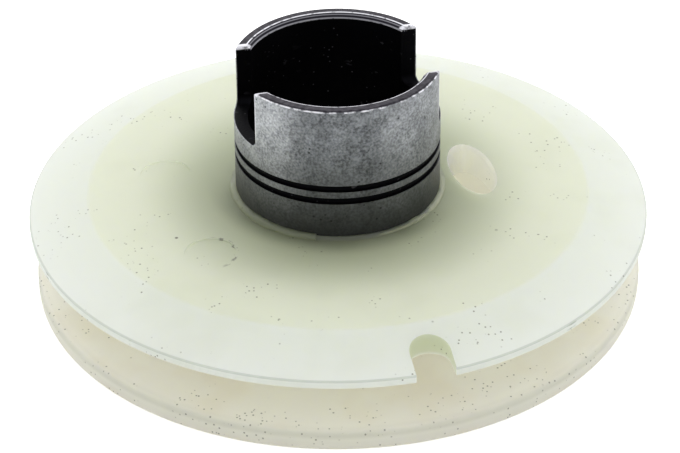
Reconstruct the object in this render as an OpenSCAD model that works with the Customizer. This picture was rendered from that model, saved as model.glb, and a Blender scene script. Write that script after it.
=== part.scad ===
// Starter rope pulley: a nylon rope reel moulded round a slotted steel drive sleeve.
// The origin is at the middle of the underside. +Z runs along the axis, with the sleeve on top.
// +X runs through the middle of the sleeve's two drive slots.

/* [Drive sleeve] */
// Outside diameter of the steel sleeve
sleeve_d = 26; // [24:0.5:30]
// Wall of the steel sleeve
sleeve_wall = 1.75; // [1.5:0.05:2.5]
// Height of the sleeve above the nylon
sleeve_stand = 18.2; // [17:0.1:26]
// Depth of the sleeve's foot in the nylon
sleeve_seat = 8.5; // [7:0.1:9.5]
// Width of the shoulder inside the foot, which the driver's nose rests on
shoulder_w = 1; // [0.5:0.1:2]
// Bevel inside the sleeve's mouth
mouth_bevel = 0.6; // [0.3:0.05:1]
// Broken edge round the outside of the mouth
mouth_break = 0.25; // [0.1:0.05:0.5]

/* [Drive slots] */
// Width of each drive slot
slot_w = 11.4; // [8:0.1:14]
// Depth of the drive slots below the mouth
slot_depth = 8; // [5:0.1:9]
// Radius in the lower corners of a slot
slot_fillet = 1; // [0.5:0.1:2]
// Radius on the upper corners beside a slot
slot_lip_r = 0.5; // [0.2:0.05:1.5]

/* [Turned rings] */
// Distance from the mouth down to the first ring
ring_drop = 10.65; // [10:0.05:12]
// Distance from one ring to the next
ring_pitch = 1.75; // [1.4:0.05:2.5]
// Width of each ring
ring_w = 0.9; // [0.5:0.05:1.2]
// Depth of each ring in the steel
ring_depth = 0.35; // [0.15:0.05:0.8]
// Number of rings
ring_count = 2; // [1:1:2]

/* [Sleeve anchor] */
// Number of nylon keys through the sleeve's foot
key_count = 4; // [2:1:6]
// Width of a key
key_w = 4; // [2:0.1:5]
// Height of a key
key_h = 3; // [1.5:0.1:4]

/* [Flanges] */
// Diameter of the upper flange
upper_d = 78.8; // [74:0.2:90]
// Thickness of the upper flange at its rim
upper_rim_t = 1.15; // [0.8:0.05:1.8]
// Thickness of the upper flange at the sleeve
upper_root_t = 3.8; // [3:0.1:5]
// Width of the bevelled band inside the upper rim
bevel_w = 7.6; // [5:0.1:10]
// Fall of the upper face from the sleeve to the bevelled band
face_fall = 0.5; // [0:0.05:0.9]
// Diameter of the lower flange
lower_d = 77.6; // [72:0.2:88]
// Thickness of the lower flange
lower_t = 3; // [2.4:0.1:4]
// Radius under the lower rim
lower_round = 1; // [0.3:0.05:1.2]
// Radius over the lower rim
lower_lip_r = 0.6; // [0.2:0.05:1]
// Broken edge of the upper rim
rim_break = 0.2; // [0.1:0.05:0.35]

/* [Rope groove] */
// Width of the groove at the rims
groove_w = 6.75; // [6:0.05:9]
// Slope of each groove face, as the rise from rim to floor
groove_draft = 0.5; // [0:0.05:0.9]
// Radius where the groove faces meet the floor
groove_fillet = 1.2; // [0.5:0.1:1.5]
// Nylon between the sleeve and the groove floor
hub_wall = 3.5; // [3:0.1:6]

/* [Rope hole and notch] */
// Width of the oval rope hole in the upper flange
hole_w = 5.2; // [4.6:0.1:6]
// Length of the rope hole
hole_len = 11.8; // [9:0.1:14]
// Lead-in round the mouth of the rope hole
hole_lead = 0.3; // [0.1:0.05:0.5]
// Depth of the lead-in
hole_lead_depth = 0.8; // [0.4:0.1:1.6]
// Distance from the groove floor out to the middle of the rope hole
hole_out = 1.05; // [1:0.05:3]
// Sideways place of the rope hole's middle
hole_side = -0.8; // [-2:0.1:2]
// Width of the rope notch in the upper rim
notch_w = 5; // [4.4:0.1:7]
// Depth of the notch from the rim
notch_depth = 5.7; // [5:0.1:9]
// Distance from the middle plane to the notch's near side
notch_side = 0.2; // [-5:0.1:5]

/* [Hub and underside] */
// Diameter of the bore that turns on the housing's post
bore_d = 12; // [8:0.5:14]
// Height of the screw's seat and the sleeve's shoulder above the keys
seat_over = 1; // [0.5:0.1:3]
// Bevel at both ends of the bore
bore_bevel = 0.4; // [0.2:0.05:0.8]
// Diameter of the boss that takes the spring's hook
boss_d = 24; // [20:0.5:26]
// Depth of the recess round the boss
recess_depth = 0.8; // [0.3:0.1:1.1]
// Width of the flat land under the lower rim
land_w = 5; // [3:0.1:8]
// Width of the slot for the spring's hook
hook_w = 2.4; // [1.5:0.1:3.5]
// Depth of the slot for the spring's hook
hook_depth = 3.5; // [2:0.1:4]

/* [Moulding marks] */
// Width of the thin lip that hugs the sleeve
lip_w = 0.7; // [0.3:0.05:1]
// Height of the thin lip
lip_h = 0.3; // [0.1:0.05:0.5]
// Diameter of an ejector pin's mark
mark_d = 6.5; // [4:0.1:7]
// Depth of an ejector pin's mark
mark_depth = 0.15; // [0.1:0.05:0.3]
// Distance from the hub wall out to the middle of a mark
mark_out = 5.8; // [4.5:0.1:8]

/* [Hidden] */

nylon_colour = [0.88, 0.9, 0.82];
steel_colour = [0.4, 0.41, 0.43];

// Faces of a full circle and steps of a quarter round in the outlines
circle_fn = 96;
oval_fn = 40;
round_steps = 6;
// A cutting shape runs past the face that it opens
past = 1;

sleeve_r = sleeve_d / 2;
sleeve_in_r = sleeve_r - sleeve_wall;
foot_in_r = sleeve_in_r - shoulder_w;
upper_r = upper_d / 2;
lower_r = lower_d / 2;
floor_r = sleeve_r + hub_wall;
bore_r = bore_d / 2;
boss_r = boss_d / 2;

// Levels above the underside, from the bottom up
groove_low = lower_t;
groove_top = groove_low + groove_w;
groove_mid = (groove_low + groove_top) / 2;
rim_top = groove_top + upper_rim_t;
nylon_top = groove_top + upper_root_t;
bevel_top = nylon_top - face_fall;
foot = nylon_top - sleeve_seat;
mouth = nylon_top + sleeve_stand;
slot_floor = mouth - slot_depth;
bore_len = foot + key_h + seat_over;
hole_x = floor_r + hole_out;
notch_x = notch_side + notch_w / 2;
// Angles of the two ejector marks, anticlockwise from +X
mark_angles = [160, 212];

// Points on an arc in an outline, from angle a to angle b
function arc(x, y, r, a, b) =
    [for (i = [0:round_steps])
        let (t = a + (b - a) * i / round_steps) [x + r * cos(t), y + r * sin(t)]];

// Half section of the nylon: the underside, the rope groove, the upper face and the sleeve's seat
function body_outline() = concat(
    [[bore_r + bore_bevel, 0], [boss_r, 0], [boss_r, recess_depth],
     [lower_r - land_w, recess_depth], [lower_r - land_w, 0]],
    arc(lower_r - lower_round, lower_round, lower_round, -90, 0),
    arc(lower_r - lower_lip_r, groove_low - lower_lip_r, lower_lip_r, 0, 90),
    arc(floor_r + groove_fillet, groove_low + groove_draft + groove_fillet, groove_fillet, 270, 180),
    arc(floor_r + groove_fillet, groove_top - groove_draft - groove_fillet, groove_fillet, 180, 90),
    arc(upper_r - rim_break, groove_top + rim_break, rim_break, -90, 0),
    arc(upper_r - rim_break, rim_top - rim_break, rim_break, 0, 90),
    [[upper_r - bevel_w, bevel_top],
     [sleeve_r + lip_w, nylon_top], [sleeve_r + lip_w / 3, nylon_top + lip_h],
     [sleeve_r, nylon_top + lip_h], [sleeve_r, foot], [foot_in_r, foot],
     [foot_in_r, bore_len], [bore_r + bore_bevel, bore_len],
     [bore_r, bore_len - bore_bevel], [bore_r, bore_bevel]]);

// Outer edge of the sleeve's section at one turned ring, from its lower side up
function ring_outline(i) =
    let (top = mouth - ring_drop - i * ring_pitch, r = sleeve_r - ring_depth)
    [[sleeve_r, top - ring_w], [r, top - ring_w], [r, top], [sleeve_r, top]];

// Half section of the sleeve, with its turned rings and the shoulder level with the nylon seat
function sleeve_outline() = concat(
    [[foot_in_r, foot], [sleeve_r, foot]],
    [for (i = [ring_count - 1:-1:0]) each ring_outline(i)],
    [[sleeve_r, mouth - mouth_break], [sleeve_r - mouth_break, mouth],
     [sleeve_in_r + mouth_bevel, mouth], [sleeve_in_r, mouth - mouth_bevel],
     [sleeve_in_r, bore_len], [foot_in_r, bore_len]]);

// Nylon keys that pass through notches in the sleeve's foot and stop it turning
module anchor_keys() {
    reach = sleeve_wall + shoulder_w + past;
    for (i = [0:key_count - 1])
        rotate([0, 0, (i + 0.5) * 360 / key_count])
            translate([foot_in_r - past / 2, -key_w / 2, foot - past / 2])
                cube([reach, key_w, key_h + past / 2]);
}

// Section of a drive slot: round lower corners, and lips that turn away at the mouth
module slot_section() {
    half = slot_w / 2;
    translate([-half, slot_floor + slot_fillet])
        square([slot_w, slot_depth - slot_fillet + past]);
    translate([slot_fillet - half, slot_floor])
        square([slot_w - 2 * slot_fillet, slot_fillet + past]);
    for (s = [-1, 1]) {
        translate([s * (half - slot_fillet), slot_floor + slot_fillet])
            circle(slot_fillet, $fn = circle_fn);
        difference() {
            translate([s * (half + slot_lip_r / 2) - slot_lip_r / 2, mouth - slot_lip_r])
                square([slot_lip_r, slot_lip_r + past]);
            translate([s * (half + slot_lip_r), mouth - slot_lip_r])
                circle(slot_lip_r, $fn = circle_fn);
        }
    }
}

// Both drive slots are one cut straight across the sleeve
module drive_slots() {
    translate([-sleeve_r - past, 0, 0])
        rotate([90, 0, 90])
            linear_extrude(sleeve_d + 2 * past) slot_section();
}

// Outline of the rope hole, long way along Y
function oval() =
    [for (i = [0:oval_fn - 1])
        let (t = i * 360 / oval_fn) [hole_w / 2 * cos(t), hole_len / 2 * sin(t)]];

// The rope comes up from the groove beside the hub, and its knot lies on the upper face
module rope_hole() {
    rise = hole_lead_depth + past;
    grow = 2 * hole_lead * rise / hole_lead_depth;
    translate([hole_x, hole_side, groove_mid])
        linear_extrude(nylon_top + past - groove_mid) polygon(oval());
    translate([hole_x, hole_side, nylon_top - hole_lead_depth])
        linear_extrude(rise, scale = [1 + grow / hole_w, 1 + grow / hole_len]) polygon(oval());
}

// Open notch in the upper rim that holds the rope while the spring is wound
module rope_notch() {
    end_y = -upper_r + notch_depth - notch_w / 2;
    rise = nylon_top + past - groove_mid;
    translate([notch_x, end_y, groove_mid])
        cylinder(h = rise, r = notch_w / 2, $fn = circle_fn);
    translate([notch_side, -upper_r - past, groove_mid])
        cube([notch_w, end_y + upper_r + past, rise]);
}

// Slot across one side of the boss for the hook on the spring's inner end
module hook_slot() {
    translate([-boss_r - past, -hook_w / 2, -past])
        cube([boss_r + past, hook_w, hook_depth + past]);
}

// Shallow round marks of the mould's ejector pins, square to the sloping upper face
module ejector_marks() {
    mark_r = floor_r + mark_out;
    face_run = upper_r - bevel_w - sleeve_r - lip_w;
    tilt = atan(face_fall / face_run);
    level = nylon_top - (mark_r - sleeve_r - lip_w) * face_fall / face_run;
    for (a = mark_angles)
        rotate([0, 0, a])
            translate([mark_r, 0, level])
                rotate([0, tilt, 0])
                    translate([0, 0, -mark_depth])
                        cylinder(h = past, r = mark_d / 2, $fn = circle_fn);
}

// One nylon moulding: hub, both flanges and the rope groove between them
module pulley_body() {
    color(nylon_colour)
        difference() {
            union() {
                rotate_extrude($fn = circle_fn) polygon(body_outline());
                anchor_keys();
            }
            rope_hole();
            rope_notch();
            hook_slot();
            ejector_marks();
        }
}

// One turned steel sleeve, slotted for the drive at its mouth and notched for the keys at its foot
module drive_sleeve() {
    color(steel_colour)
        difference() {
            rotate_extrude($fn = circle_fn) polygon(sleeve_outline());
            drive_slots();
            anchor_keys();
        }
}

pulley_body();
drive_sleeve();
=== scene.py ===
# %% [markdown]
# A starter pulley: a milky nylon rope reel, moulded round a slotted steel sleeve.
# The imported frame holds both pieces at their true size. This lesson gives them their finish,
# their wear and dirt, and the nylon that crept up round the sleeve in the mould.

# %% Load the frame
import math

import bpy
from mathutils import Matrix, Vector


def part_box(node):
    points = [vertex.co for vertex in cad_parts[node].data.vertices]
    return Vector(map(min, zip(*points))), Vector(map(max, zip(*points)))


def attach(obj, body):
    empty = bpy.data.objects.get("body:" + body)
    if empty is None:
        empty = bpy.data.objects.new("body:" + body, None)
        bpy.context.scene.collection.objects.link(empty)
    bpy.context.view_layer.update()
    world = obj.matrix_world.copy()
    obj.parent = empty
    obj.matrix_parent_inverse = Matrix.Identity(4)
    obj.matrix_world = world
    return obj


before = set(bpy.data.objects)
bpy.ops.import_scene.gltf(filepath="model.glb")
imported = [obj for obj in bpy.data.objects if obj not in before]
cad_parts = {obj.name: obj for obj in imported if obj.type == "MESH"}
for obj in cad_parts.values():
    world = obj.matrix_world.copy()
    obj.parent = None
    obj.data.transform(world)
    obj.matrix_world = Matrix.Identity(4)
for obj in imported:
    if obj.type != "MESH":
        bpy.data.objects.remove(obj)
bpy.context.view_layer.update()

MM = 0.001
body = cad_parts["pulley_body"]
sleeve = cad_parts["drive_sleeve"]

# %% [markdown]
# Everything is measured from the two nodes in millimetres, so the wear and the dirt stay in
# their places on the real piece.

# %% Main measures
body_lo, body_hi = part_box("pulley_body")
sleeve_lo, sleeve_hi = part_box("drive_sleeve")
MOUTH = sleeve_hi.z / MM
SLEEVE_R = sleeve_hi.x / MM
FLANGE_R = body_hi.x / MM
SLEEVE_SHOWN = 18.2
NYLON_TOP = MOUTH - SLEEVE_SHOWN
WALL = 1.75
SLOT_HALF = 5.7
SLOT_DEPTH = 8.0
SLOT_FLOOR = MOUTH - SLOT_DEPTH
RIM_TOP = 10.9
GROOVE_TOP = 9.75
BEVEL_WIDTH = 7.6
BEVEL_R = FLANGE_R - BEVEL_WIDTH
print("mouth", round(MOUTH, 2), "sleeve radius", round(SLEEVE_R, 2), "flange radius", round(FLANGE_R, 2))

# %% [markdown]
# A long lens from the front, a third of a right angle above the table and turned a little from
# the sleeve's slots, shows the mouth, one slot on each side and the whole upper flange.

# %% Camera
LENS_MM = 153.0
CAMERA_RISE = math.radians(33.13)
CAMERA_TURN = math.radians(-13.0)
CAMERA_ROLL = math.radians(-0.45)
CAMERA_OFFSET = Vector((0.4, -20.9, 358.7)) * MM

turn = (
    Matrix.Rotation(CAMERA_TURN, 4, "Z")
    @ Matrix.Rotation(math.pi / 2 - CAMERA_RISE, 4, "X")
    @ Matrix.Rotation(CAMERA_ROLL, 4, "Z")
)
bpy.ops.object.camera_add()
camera = bpy.context.object
camera.name = "camera"
camera.data.lens = LENS_MM
camera.matrix_world = (
    Matrix.Translation(Vector((0, 0, MOUTH * MM))) @ turn @ Matrix.Translation(CAMERA_OFFSET)
)
scene = bpy.context.scene
scene.camera = camera
scene.view_settings.view_transform = "Standard"
print("camera at", [round(c, 3) for c in camera.matrix_world.translation])

# %% [markdown]
# Finishes are built from a few small steps: plain sums, a soft step between two values, a blend
# of two colours. With these a finish reads like a recipe.

# %% Recipe helpers


def new_finish(name):
    """A node material with a place in millimetres: x, y, z and the radius from the axis."""
    material = bpy.data.materials.new(name)
    material.use_nodes = True
    tree = material.node_tree
    tree.nodes.clear()
    spot = tree.nodes.new("ShaderNodeTexCoord").outputs["Object"]
    grow = tree.nodes.new("ShaderNodeVectorMath")
    grow.operation = "SCALE"
    grow.inputs["Scale"].default_value = 1 / MM
    tree.links.new(spot, grow.inputs[0])
    parts = tree.nodes.new("ShaderNodeSeparateXYZ")
    tree.links.new(grow.outputs[0], parts.inputs[0])
    x, y, z = parts.outputs
    return material, tree, grow.outputs[0], (x, y, z, distance(tree, x, y))


def feed(tree, value, socket):
    """Link a socket to another, or set it to a plain value."""
    if isinstance(value, bpy.types.NodeSocket):
        tree.links.new(value, socket)
    else:
        socket.default_value = value


def maths(tree, operation, a, b=0.0):
    node = tree.nodes.new("ShaderNodeMath")
    node.operation = operation
    feed(tree, a, node.inputs[0])
    feed(tree, b, node.inputs[1])
    return node.outputs[0]


def both(tree, *masks):
    """One where every mask is one."""
    product = masks[0]
    for mask in masks[1:]:
        product = maths(tree, "MULTIPLY", product, mask)
    return product


def either(tree, *masks):
    """The strongest of the masks."""
    strongest = masks[0]
    for mask in masks[1:]:
        strongest = maths(tree, "MAXIMUM", strongest, mask)
    return strongest


def distance(tree, dx, dy):
    """How far apart two places are, seen from above."""
    return maths(tree, "SQRT", maths(tree, "ADD", both(tree, dx, dx), both(tree, dy, dy)))


def along(tree, x, y, degrees):
    """How far a place lies along a direction round the axis."""
    turned = math.radians(degrees)
    return maths(tree, "ADD", both(tree, x, math.cos(turned)), both(tree, y, math.sin(turned)))


def fade(tree, value, start, end):
    """Nought before the start, one past the end, and soft between them."""
    node = tree.nodes.new("ShaderNodeMapRange")
    node.interpolation_type = "SMOOTHSTEP"
    feed(tree, value, node.inputs["Value"])
    node.inputs["From Min"].default_value = start
    node.inputs["From Max"].default_value = end
    return node.outputs["Result"]


def stripe(tree, value, middle, half, soft):
    """One within half a width of the middle, with soft edges."""
    away = maths(tree, "ABSOLUTE", maths(tree, "SUBTRACT", value, middle))
    return fade(tree, away, half + soft, half)


def blend(tree, factor, first, second):
    node = tree.nodes.new("ShaderNodeMix")
    node.data_type = "RGBA"
    feed(tree, factor, node.inputs[0])
    feed(tree, first, node.inputs[6])
    feed(tree, second, node.inputs[7])
    return node.outputs[2]


def grain(tree, spot, per_mm, detail=3.0, stretch=(1, 1, 1)):
    """Random mottling, with so many patches in a millimetre."""
    node = tree.nodes.new("ShaderNodeTexNoise")
    node.inputs["Scale"].default_value = per_mm
    node.inputs["Detail"].default_value = detail
    sized = tree.nodes.new("ShaderNodeVectorMath")
    sized.operation = "MULTIPLY"
    tree.links.new(spot, sized.inputs[0])
    sized.inputs[1].default_value = stretch
    tree.links.new(sized.outputs[0], node.inputs["Vector"])
    return node.outputs["Fac"]


def specks(tree, spot, per_mm, size):
    """Round specks, one in each cell, of a size given as a part of the cell."""
    node = tree.nodes.new("ShaderNodeTexVoronoi")
    node.inputs["Scale"].default_value = per_mm
    tree.links.new(spot, node.inputs["Vector"])
    return fade(tree, node.outputs["Distance"], size, size * 0.45)


def bump(tree, height, distance_mm, strength=1.0):
    node = tree.nodes.new("ShaderNodeBump")
    node.inputs["Distance"].default_value = distance_mm * MM
    node.inputs["Strength"].default_value = strength
    tree.links.new(height, node.inputs["Height"])
    return node.outputs["Normal"]


# %% [markdown]
# The pulley stands on a white table in a white room, and a soft shadow stays round its foot. The
# lens, the steel and the light that comes through the nylon see a bright room and table, while the
# plain light on things is softer. Two softboxes behind leave the sleeve's front in shade.

# %% Floor, room and softboxes
FLOOR_SIZE = 3.0
SOFTBOX_PLACE = Vector((0.38, 0, 0.46))
SOFTBOX_SIDE = 0.4
SOFTBOX_POWER = 1.05
ROOM_LIGHT = 0.6
TABLE_WHITE = 0.96
TABLE_GLOW = 0.6


def seen_straight(tree):
    """One for the lens, for shine and for what comes through, and nought for plain light."""
    rays = tree.nodes.new("ShaderNodeLightPath").outputs
    return either(tree, rays["Is Camera Ray"], rays["Is Glossy Ray"], rays["Is Transmission Ray"])


bpy.ops.mesh.primitive_plane_add(size=FLOOR_SIZE)
floor = bpy.context.object
floor.name = "floor"

table = bpy.data.materials.new("white_table")
table.use_nodes = True
tree = table.node_tree
tree.nodes.clear()
matt = tree.nodes.new("ShaderNodeBsdfDiffuse")
matt.inputs["Color"].default_value = (TABLE_WHITE, TABLE_WHITE, TABLE_WHITE, 1)
glow = tree.nodes.new("ShaderNodeEmission")
tree.links.new(both(tree, seen_straight(tree), TABLE_GLOW), glow.inputs["Strength"])
added = tree.nodes.new("ShaderNodeAddShader")
tree.links.new(matt.outputs[0], added.inputs[0])
tree.links.new(glow.outputs[0], added.inputs[1])
tree.links.new(added.outputs[0], tree.nodes.new("ShaderNodeOutputMaterial").inputs["Surface"])
floor.data.materials.append(table)

room = bpy.data.worlds.new("white_room")
scene.world = room
room.use_nodes = True
tree = room.node_tree
tree.nodes.clear()
backdrop = tree.nodes.new("ShaderNodeBackground")
strength = maths(tree, "ADD", both(tree, seen_straight(tree), 1 - ROOM_LIGHT), ROOM_LIGHT)
tree.links.new(strength, backdrop.inputs["Strength"])
backdrop.inputs["Color"].default_value = (1, 1, 1, 1)
tree.links.new(backdrop.outputs[0], tree.nodes.new("ShaderNodeOutputWorld").inputs["Surface"])


def softbox(name, place, side, power):
    """A square lamp that faces the pulley."""
    bpy.ops.object.light_add(type="AREA", location=place)
    lamp = bpy.context.object
    lamp.name = name
    lamp.data.size = side
    lamp.data.energy = power
    lamp.rotation_mode = "QUATERNION"
    lamp.rotation_quaternion = (Vector(place) * -1).to_track_quat("-Z", "Y")


for name, angle in (("softbox_right", 35), ("softbox_left", 115)):
    place = Matrix.Rotation(math.radians(angle), 3, "Z") @ SOFTBOX_PLACE
    softbox(name, place, SOFTBOX_SIDE, SOFTBOX_POWER)
print("room light", ROOM_LIGHT, "and two softboxes")

# %% [markdown]
# Natural nylon is milky: light goes in, wanders some millimetres and comes out, so thin rims glow.
# On top of that, light and shade are painted into the colour: a darker, greener painted shade round
# the hub, where the dark steel stands behind it, a whiter painted band on the bevel, and a bright
# cream painted into the groove for the light that has passed through the flange.

# %% Milky nylon
SHADED_SIDE = 245
nylon, tree, spot, (x, y, z, r) = new_finish("milky_nylon")
cloud = grain(tree, spot, 0.12, 2.0)
above_groove = fade(tree, z, GROOVE_TOP - 0.4, GROOVE_TOP + 0.4)
# Painted shade: all round the hub, darker and greener towards the sleeve.
hub_shade = fade(tree, r, 27.0, SLEEVE_R + 0.5)
# Painted light: the bevelled band of the upper flange is painted whiter.
bevel_light = both(tree, fade(tree, r, BEVEL_R - 0.3, BEVEL_R + 0.4), above_groove)
tone = blend(tree, hub_shade, (0.815, 0.855, 0.752, 1), (0.50, 0.55, 0.40, 1))
tone = blend(tree, bevel_light, tone, (0.83, 0.877, 0.84, 1))
# Painted shadow of the sleeve, dark on the nylon in front of its foot.
to_front = along(tree, x, y, SHADED_SIDE)
foot_shadow = both(tree, fade(tree, r, 17.0, SLEEVE_R + 0.3), fade(tree, to_front, 1, 11))
tone = blend(tree, both(tree, foot_shadow, 0.75), tone, (0.16, 0.18, 0.12, 1))
# Painted light: everything below the groove's top is painted a bright cream, as if lit through the
# flange.
groove_light = blend(tree, fade(tree, cloud, 0.45, 0.65), (0.975, 0.962, 0.88, 1), (0.985, 0.94, 0.855, 1))
tone = blend(tree, above_groove, groove_light, tone)
tone = blend(tree, both(tree, fade(tree, cloud, 0.45, 0.7), 0.12), tone, (0.62, 0.66, 0.52, 1))
facing = tree.nodes.new("ShaderNodeSeparateXYZ")
tree.links.new(tree.nodes.new("ShaderNodeNewGeometry").outputs["Normal"], facing.inputs[0])
upright = fade(tree, maths(tree, "ABSOLUTE", facing.outputs[2]), 0.6, 0.3)
# Painted shade: the notch's upright walls are painted a darker grey-green.
notch_wall_shade = both(
    tree,
    upright,
    fade(tree, r, 31, 32),
    fade(tree, r, FLANGE_R - 0.2, FLANGE_R - 0.4),
    above_groove,
)
tone = blend(tree, notch_wall_shade, tone, (0.66, 0.70, 0.55, 1))
# Painted light: the rope hole's upright walls are painted near white.
hole_wall_light = both(tree, upright, fade(tree, r, 14.3, 14.7), fade(tree, r, 23, 22), fade(tree, x, 12, 13))
tone = blend(tree, hole_wall_light, tone, (0.99, 0.975, 0.90, 1))

# %% [markdown]
# The lower rim is thick, so its outer face is painted greyer than the thin flange. A painted soft
# dark shade runs where its face turns over, and its foot on the table keeps the pale painted light of
# the groove. The upper rim has a fine grey edge.

# %% Rims
low_rim = both(tree, fade(tree, r, 37.6, 38.4), fade(tree, z, 3.1, 2.7))
# Painted: the lower rim's outer face greyer, its foot keeping the pale painted light.
tone = blend(tree, both(tree, low_rim, fade(tree, z, 0.2, 1.6)), tone, (0.90, 0.905, 0.83, 1))
# Painted shade along the line where the lower rim's face turns over.
fold_shade = both(tree, stripe(tree, z, 2.5, 0.05, 0.7), fade(tree, r, 37.4, 38.2))
tone = blend(tree, both(tree, fold_shade, 0.28), tone, (0.42, 0.43, 0.37, 1))
rim_edge = both(
    tree,
    stripe(tree, z, RIM_TOP - 0.12, 0.08, 0.1),
    fade(tree, r, FLANGE_R - 0.3, FLANGE_R - 0.1),
)
tone = blend(tree, both(tree, rim_edge, 0.45), tone, (0.36, 0.40, 0.38, 1))

# %% [markdown]
# Handling left dark specks, thick on the lower rim and thin elsewhere, and a scuffed grey line
# round parts of the upper rim, where the pulley has rubbed along the housing.

# %% Specks and scuffs on the nylon
dirty_patch = grain(tree, spot, 0.16, 1.0)
low_and_out = both(tree, fade(tree, z, GROOVE_TOP + 0.3, GROOVE_TOP - 1), fade(tree, r, 30, 34))
gate = fade(tree, maths(tree, "ADD", dirty_patch, both(tree, low_and_out, 0.14)), 0.58, 0.66)
small_specks = both(tree, specks(tree, spot, 1.3, 0.21), gate)
large_patch = fade(tree, grain(tree, spot, 0.21, 1.0), 0.58, 0.66)
large_specks = both(tree, specks(tree, spot, 0.33, 0.09), large_patch)
on_rim = both(tree, fade(tree, r, FLANGE_R - 0.4, FLANGE_R - 0.1), above_groove)
rub_line = either(
    tree,
    stripe(tree, z, RIM_TOP - 0.25, 0.05, 0.12),
    stripe(tree, z, GROOVE_TOP + 0.35, 0.05, 0.12),
)
rub_gate = fade(tree, grain(tree, spot, 0.25, 4.0, (1, 1, 0.2)), 0.60, 0.68)
rub = both(tree, on_rim, rub_line, rub_gate)
MARK_X, MARK_Y, MARK_R = -18.91, -11.82, 3.25
mark_dx, mark_dy = maths(tree, "SUBTRACT", x, MARK_X), maths(tree, "SUBTRACT", y, MARK_Y)
mark_edge = both(
    tree,
    stripe(tree, distance(tree, mark_dx, mark_dy), MARK_R, 0.12, 0.25),
    fade(tree, mark_dx, 0.3, 2.0),
    above_groove,
)
mark_dirt = both(tree, mark_edge, fade(tree, grain(tree, spot, 1.5, 3.0), 0.5, 0.62))
dirt = either(
    tree,
    both(tree, small_specks, 0.7),
    both(tree, large_specks, 0.8),
    both(tree, mark_dirt, 0.6),
    both(tree, rub, 0.5),
)
tone = blend(tree, dirt, tone, (0.10, 0.10, 0.08, 1))

skin = tree.nodes.new("ShaderNodeBsdfPrincipled")
tree.links.new(tone, skin.inputs["Base Color"])
skin.inputs["Roughness"].default_value = 0.42
skin.inputs["Specular IOR Level"].default_value = 0.35
skin.inputs["Subsurface Weight"].default_value = 1.0
skin.inputs["Subsurface Radius"].default_value = (1.0, 1.0, 0.75)
skin.inputs["Subsurface Scale"].default_value = 5.0 * MM
scratches = grain(tree, spot, 0.9, 3.0, (1, 0.15, 1))
tree.links.new(bump(tree, scratches, 0.04, 0.5), skin.inputs["Normal"])

# Some light goes straight on through the milk, and is scattered again at the far side.
through = tree.nodes.new("ShaderNodeBsdfTranslucent")
tree.links.new(tone, through.inputs["Color"])
outer = tree.nodes.new("ShaderNodeMixShader")
outer.inputs[0].default_value = 0.36
tree.links.new(skin.outputs[0], outer.inputs[1])
tree.links.new(through.outputs[0], outer.inputs[2])
milk = tree.nodes.new("ShaderNodeBsdfDiffuse")
tree.links.new(tone, milk.inputs["Color"])
inner = tree.nodes.new("ShaderNodeMixShader")
inner.inputs[0].default_value = 0.7
tree.links.new(milk.outputs[0], inner.inputs[1])
tree.links.new(through.outputs[0], inner.inputs[2])
face = tree.nodes.new("ShaderNodeMixShader")
tree.links.new(tree.nodes.new("ShaderNodeNewGeometry").outputs["Backfacing"], face.inputs[0])
tree.links.new(outer.outputs[0], face.inputs[1])
tree.links.new(inner.outputs[0], face.inputs[2])
tree.links.new(face.outputs[0], tree.nodes.new("ShaderNodeOutputMaterial").inputs["Surface"])
body.data.materials[0] = nylon
print("nylon set on", body.name)

# %% [markdown]
# The sleeve is blackened steel whose outside was rubbed to a mottled grey. The black stays where
# nothing rubs: in the turned rings, down the bore and in the slots. On top a dark land runs between two
# bright edges, partly worn and partly painted highlight, and fine turning lines show in the bevel inside
# the mouth. Painted reflections make the wall paler down its left side and less so down its right, and
# painted shade darkens it towards the nylon.

# %% Blackened and rubbed steel, with painted reflection and shade
steel, tree, spot, (x, y, z, r) = new_finish("rubbed_steel")
REFLECTION_SIDE = -13
GREY = (0.055, 0.058, 0.062, 1)
PALE = (0.29, 0.305, 0.33, 1)
BLACK = (0.004, 0.004, 0.005, 1)
LAND = (0.032, 0.030, 0.036, 1)
BRIGHT = (0.75, 0.75, 0.80, 1)

side_y = maths(tree, "ABSOLUTE", y)
outside = fade(tree, r, SLEEVE_R - 0.14, SLEEVE_R - 0.04)
mottle = grain(tree, spot, 3.2, 6.0)
cloudy = fade(tree, grain(tree, spot, 0.45, 4.0), 0.35, 0.68)
streak = grain(tree, spot, 0.35, 3.0, (1, 1, 0.5))
fine = fade(tree, mottle, 0.25, 0.75)
rubbed_grain = maths(tree, "ADD", both(tree, fine, 0.7), both(tree, cloudy, 0.3))
wall = blend(tree, rubbed_grain, GREY, PALE)
wall = blend(tree, both(tree, fade(tree, streak, 0.4, 0.7), 0.4), wall, (0.09, 0.095, 0.10, 1))
# Painted reflection: the wall is painted paler down its left side, and less so down its right.
to_side = along(tree, x, y, REFLECTION_SIDE)
left_reflection = fade(tree, to_side, -3.0, -8.5)
painted_reflection = either(tree, left_reflection, both(tree, fade(tree, to_side, 3.0, 8.0), 0.45))
reflection_tone = blend(tree, rubbed_grain, (0.22, 0.23, 0.25, 1), (0.72, 0.74, 0.78, 1))
wall = blend(tree, both(tree, painted_reflection, 0.75), wall, reflection_tone)
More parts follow.
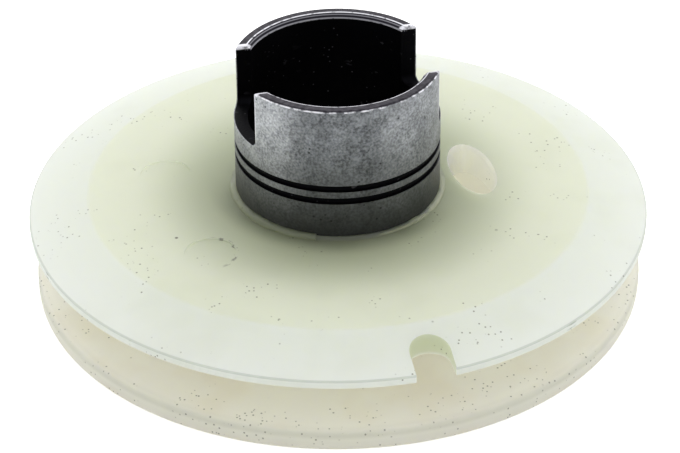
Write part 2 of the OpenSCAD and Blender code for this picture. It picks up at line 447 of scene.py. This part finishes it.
# Painted shade: the wall darkens towards its foot in the nylon.
low_shade = both(tree, fade(tree, z, NYLON_TOP + 15, NYLON_TOP), 0.9)
wall = blend(tree, low_shade, wall, (0.05, 0.052, 0.05, 1))
pits = both(tree, specks(tree, spot, 0.8, 0.16), fade(tree, grain(tree, spot, 0.3, 1.0), 0.48, 0.58))
wall = blend(tree, both(tree, pits, 0.8), wall, (0.03, 0.03, 0.03, 1))
scratch_cells = specks(tree, spot, 0.9, 0.13)
fibre_patch = fade(tree, grain(tree, spot, 0.2, 1.0), 0.45, 0.6)
fibres = both(tree, fade(tree, grain(tree, spot, 1.1, 2.0, (0.4, 1, 1)), 0.66, 0.70), fibre_patch)
inner_marks = either(tree, both(tree, scratch_cells, 0.6), both(tree, fibres, 0.35))
bore = blend(tree, inner_marks, BLACK, (0.11, 0.11, 0.12, 1))
tone = blend(tree, outside, bore, wall)

# %% [markdown]
# The bright lines are partly where the black has worn off the edges and partly painted highlights on
# their rounding: round the outside of the mouth, along the inner edge of the land, at the bevel's lower
# edge and down the sides of the slots. The rounded lips beside the slots get a painted highlight.

# %% Worn edges and painted edge highlights
worn_noise = grain(tree, spot, 1.6, 3.0)
on_top = fade(tree, z, MOUTH - 0.12, MOUTH - 0.02)
in_bevel = both(
    tree,
    fade(tree, z, MOUTH - 0.75, MOUTH - 0.62),
    fade(tree, r, SLEEVE_R - 1.05, SLEEVE_R - 1.18),
)
land_top = both(
    tree,
    fade(tree, z, MOUTH - 0.2, MOUTH - 0.14),
    fade(tree, r, SLEEVE_R - 1.3, SLEEVE_R - 1.15),
)
land = blend(tree, fade(tree, worn_noise, 0.35, 0.7), LAND, (0.065, 0.062, 0.072, 1))
tone = blend(tree, land_top, tone, land)
lines = stripe(tree, maths(tree, "FRACT", both(tree, r, 3.4)), 0.5, 0.08, 0.16)
tone = blend(tree, in_bevel, tone, blend(tree, lines, (0.018, 0.017, 0.022, 1), (0.20, 0.20, 0.22, 1)))
broken = fade(tree, grain(tree, spot, 1.1, 4.0), 0.42, 0.58)
outer_edge = both(
    tree,
    fade(tree, r, SLEEVE_R - 0.13, SLEEVE_R - 0.07),
    fade(tree, z, MOUTH - 0.36, MOUTH - 0.28),
    broken,
)
inner_edge = both(tree, stripe(tree, r, SLEEVE_R - WALL + 0.6, 0.05, 0.06), on_top)
bevel_foot = both(
    tree,
    stripe(tree, z, MOUTH - 0.62, 0.03, 0.05),
    fade(tree, r, SLEEVE_R - 1.6, SLEEVE_R - 1.7),
)
beside_slot = both(
    tree,
    stripe(tree, side_y, SLOT_HALF + 0.09, 0.06, 0.08),
    fade(tree, z, SLOT_FLOOR + 0.5, SLOT_FLOOR + 2.0),
    outside,
)
# Painted highlight on the rounded lip beside each slot.
lip_glint = both(
    tree,
    fade(tree, side_y, SLOT_HALF + 0.66, SLOT_HALF + 0.45),
    fade(tree, z, MOUTH - 0.5, MOUTH - 0.4),
)
# Bright edges: partly worn-off black, partly painted highlight.
worn_and_glint = either(
    tree,
    outer_edge,
    inner_edge,
    both(tree, bevel_foot, 0.35),
    both(tree, beside_slot, 0.6),
    both(tree, lip_glint, 0.9),
)
worn_and_glint = both(tree, worn_and_glint, fade(tree, worn_noise, 0.25, 0.5))
tone = blend(tree, worn_and_glint, tone, BRIGHT)

skin = tree.nodes.new("ShaderNodeBsdfPrincipled")
tree.links.new(tone, skin.inputs["Base Color"])
skin.inputs["Metallic"].default_value = 1.0
skin.inputs["Roughness"].default_value = 0.5
tree.links.new(bump(tree, mottle, 0.05, 0.6), skin.inputs["Normal"])
tree.links.new(skin.outputs[0], tree.nodes.new("ShaderNodeOutputMaterial").inputs["Surface"])
sleeve.data.materials[0] = steel
print("steel set on", sleeve.name)

# %% [markdown]
# In the mould the nylon crept up round the sleeve and froze as an uneven roll. It could be cut
# as a slice of a flat ring: a ring whose middle lies a little off the axis thins out to both
# sides by itself, and a plane cuts it off where the roll has broken.

# %% Creeping roll of nylon


def creeping_roll(name, angle, off, thick, rise, keep):
    """A crescent of nylon against the sleeve, thickest at an angle, over so many degrees each side."""
    bpy.ops.object.select_all(action="DESELECT")
    middle = Matrix.Rotation(math.radians(angle), 3, "Z") @ Vector((off, 0, 0))
    middle.z = NYLON_TOP
    bpy.ops.mesh.primitive_torus_add(
        major_segments=240,
        minor_segments=16,
        major_radius=(SLEEVE_R - 0.25) * MM,
        minor_radius=thick * MM,
        location=middle * MM,
    )
    piece = bpy.context.object
    piece.name = name
    piece.scale.z = rise / thick
    bpy.ops.object.transform_apply(location=True, rotation=False, scale=True)
    bpy.ops.object.mode_set(mode="EDIT")
    for side in (-1, 1):
        bpy.ops.mesh.select_all(action="SELECT")
        cut = math.radians(angle + side * keep[(side + 1) // 2] + side * 90)
        bpy.ops.mesh.bisect(
            plane_co=(0, 0, 0),
            plane_no=(math.cos(cut), math.sin(cut), 0),
            use_fill=True,
            clear_outer=True,
        )
    bpy.ops.mesh.select_all(action="SELECT")
    bpy.ops.mesh.normals_make_consistent(inside=False)
    bpy.ops.object.mode_set(mode="OBJECT")
    uneven = bpy.data.textures.new(name + "_uneven", "CLOUDS")
    uneven.noise_scale = 2.2 * MM
    swell = piece.modifiers.new("swell", "DISPLACE")
    swell.texture = uneven
    swell.strength = 0.35 * MM
    swell.texture_coords = "LOCAL"
    bpy.ops.object.modifier_apply(modifier=swell.name)
    bpy.ops.object.shade_smooth_by_angle(angle=math.radians(50))
    piece.data.materials.append(nylon)
    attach(piece, "root")
    print(name, "reaches", [round(c / MM, 2) for c in piece.dimensions])


creeping_roll("roll_left", 212, 0.35, 0.75, 0.55, (45, 33))
creeping_roll("roll_right", 312, 0.25, 0.7, 0.3, (40, 40))
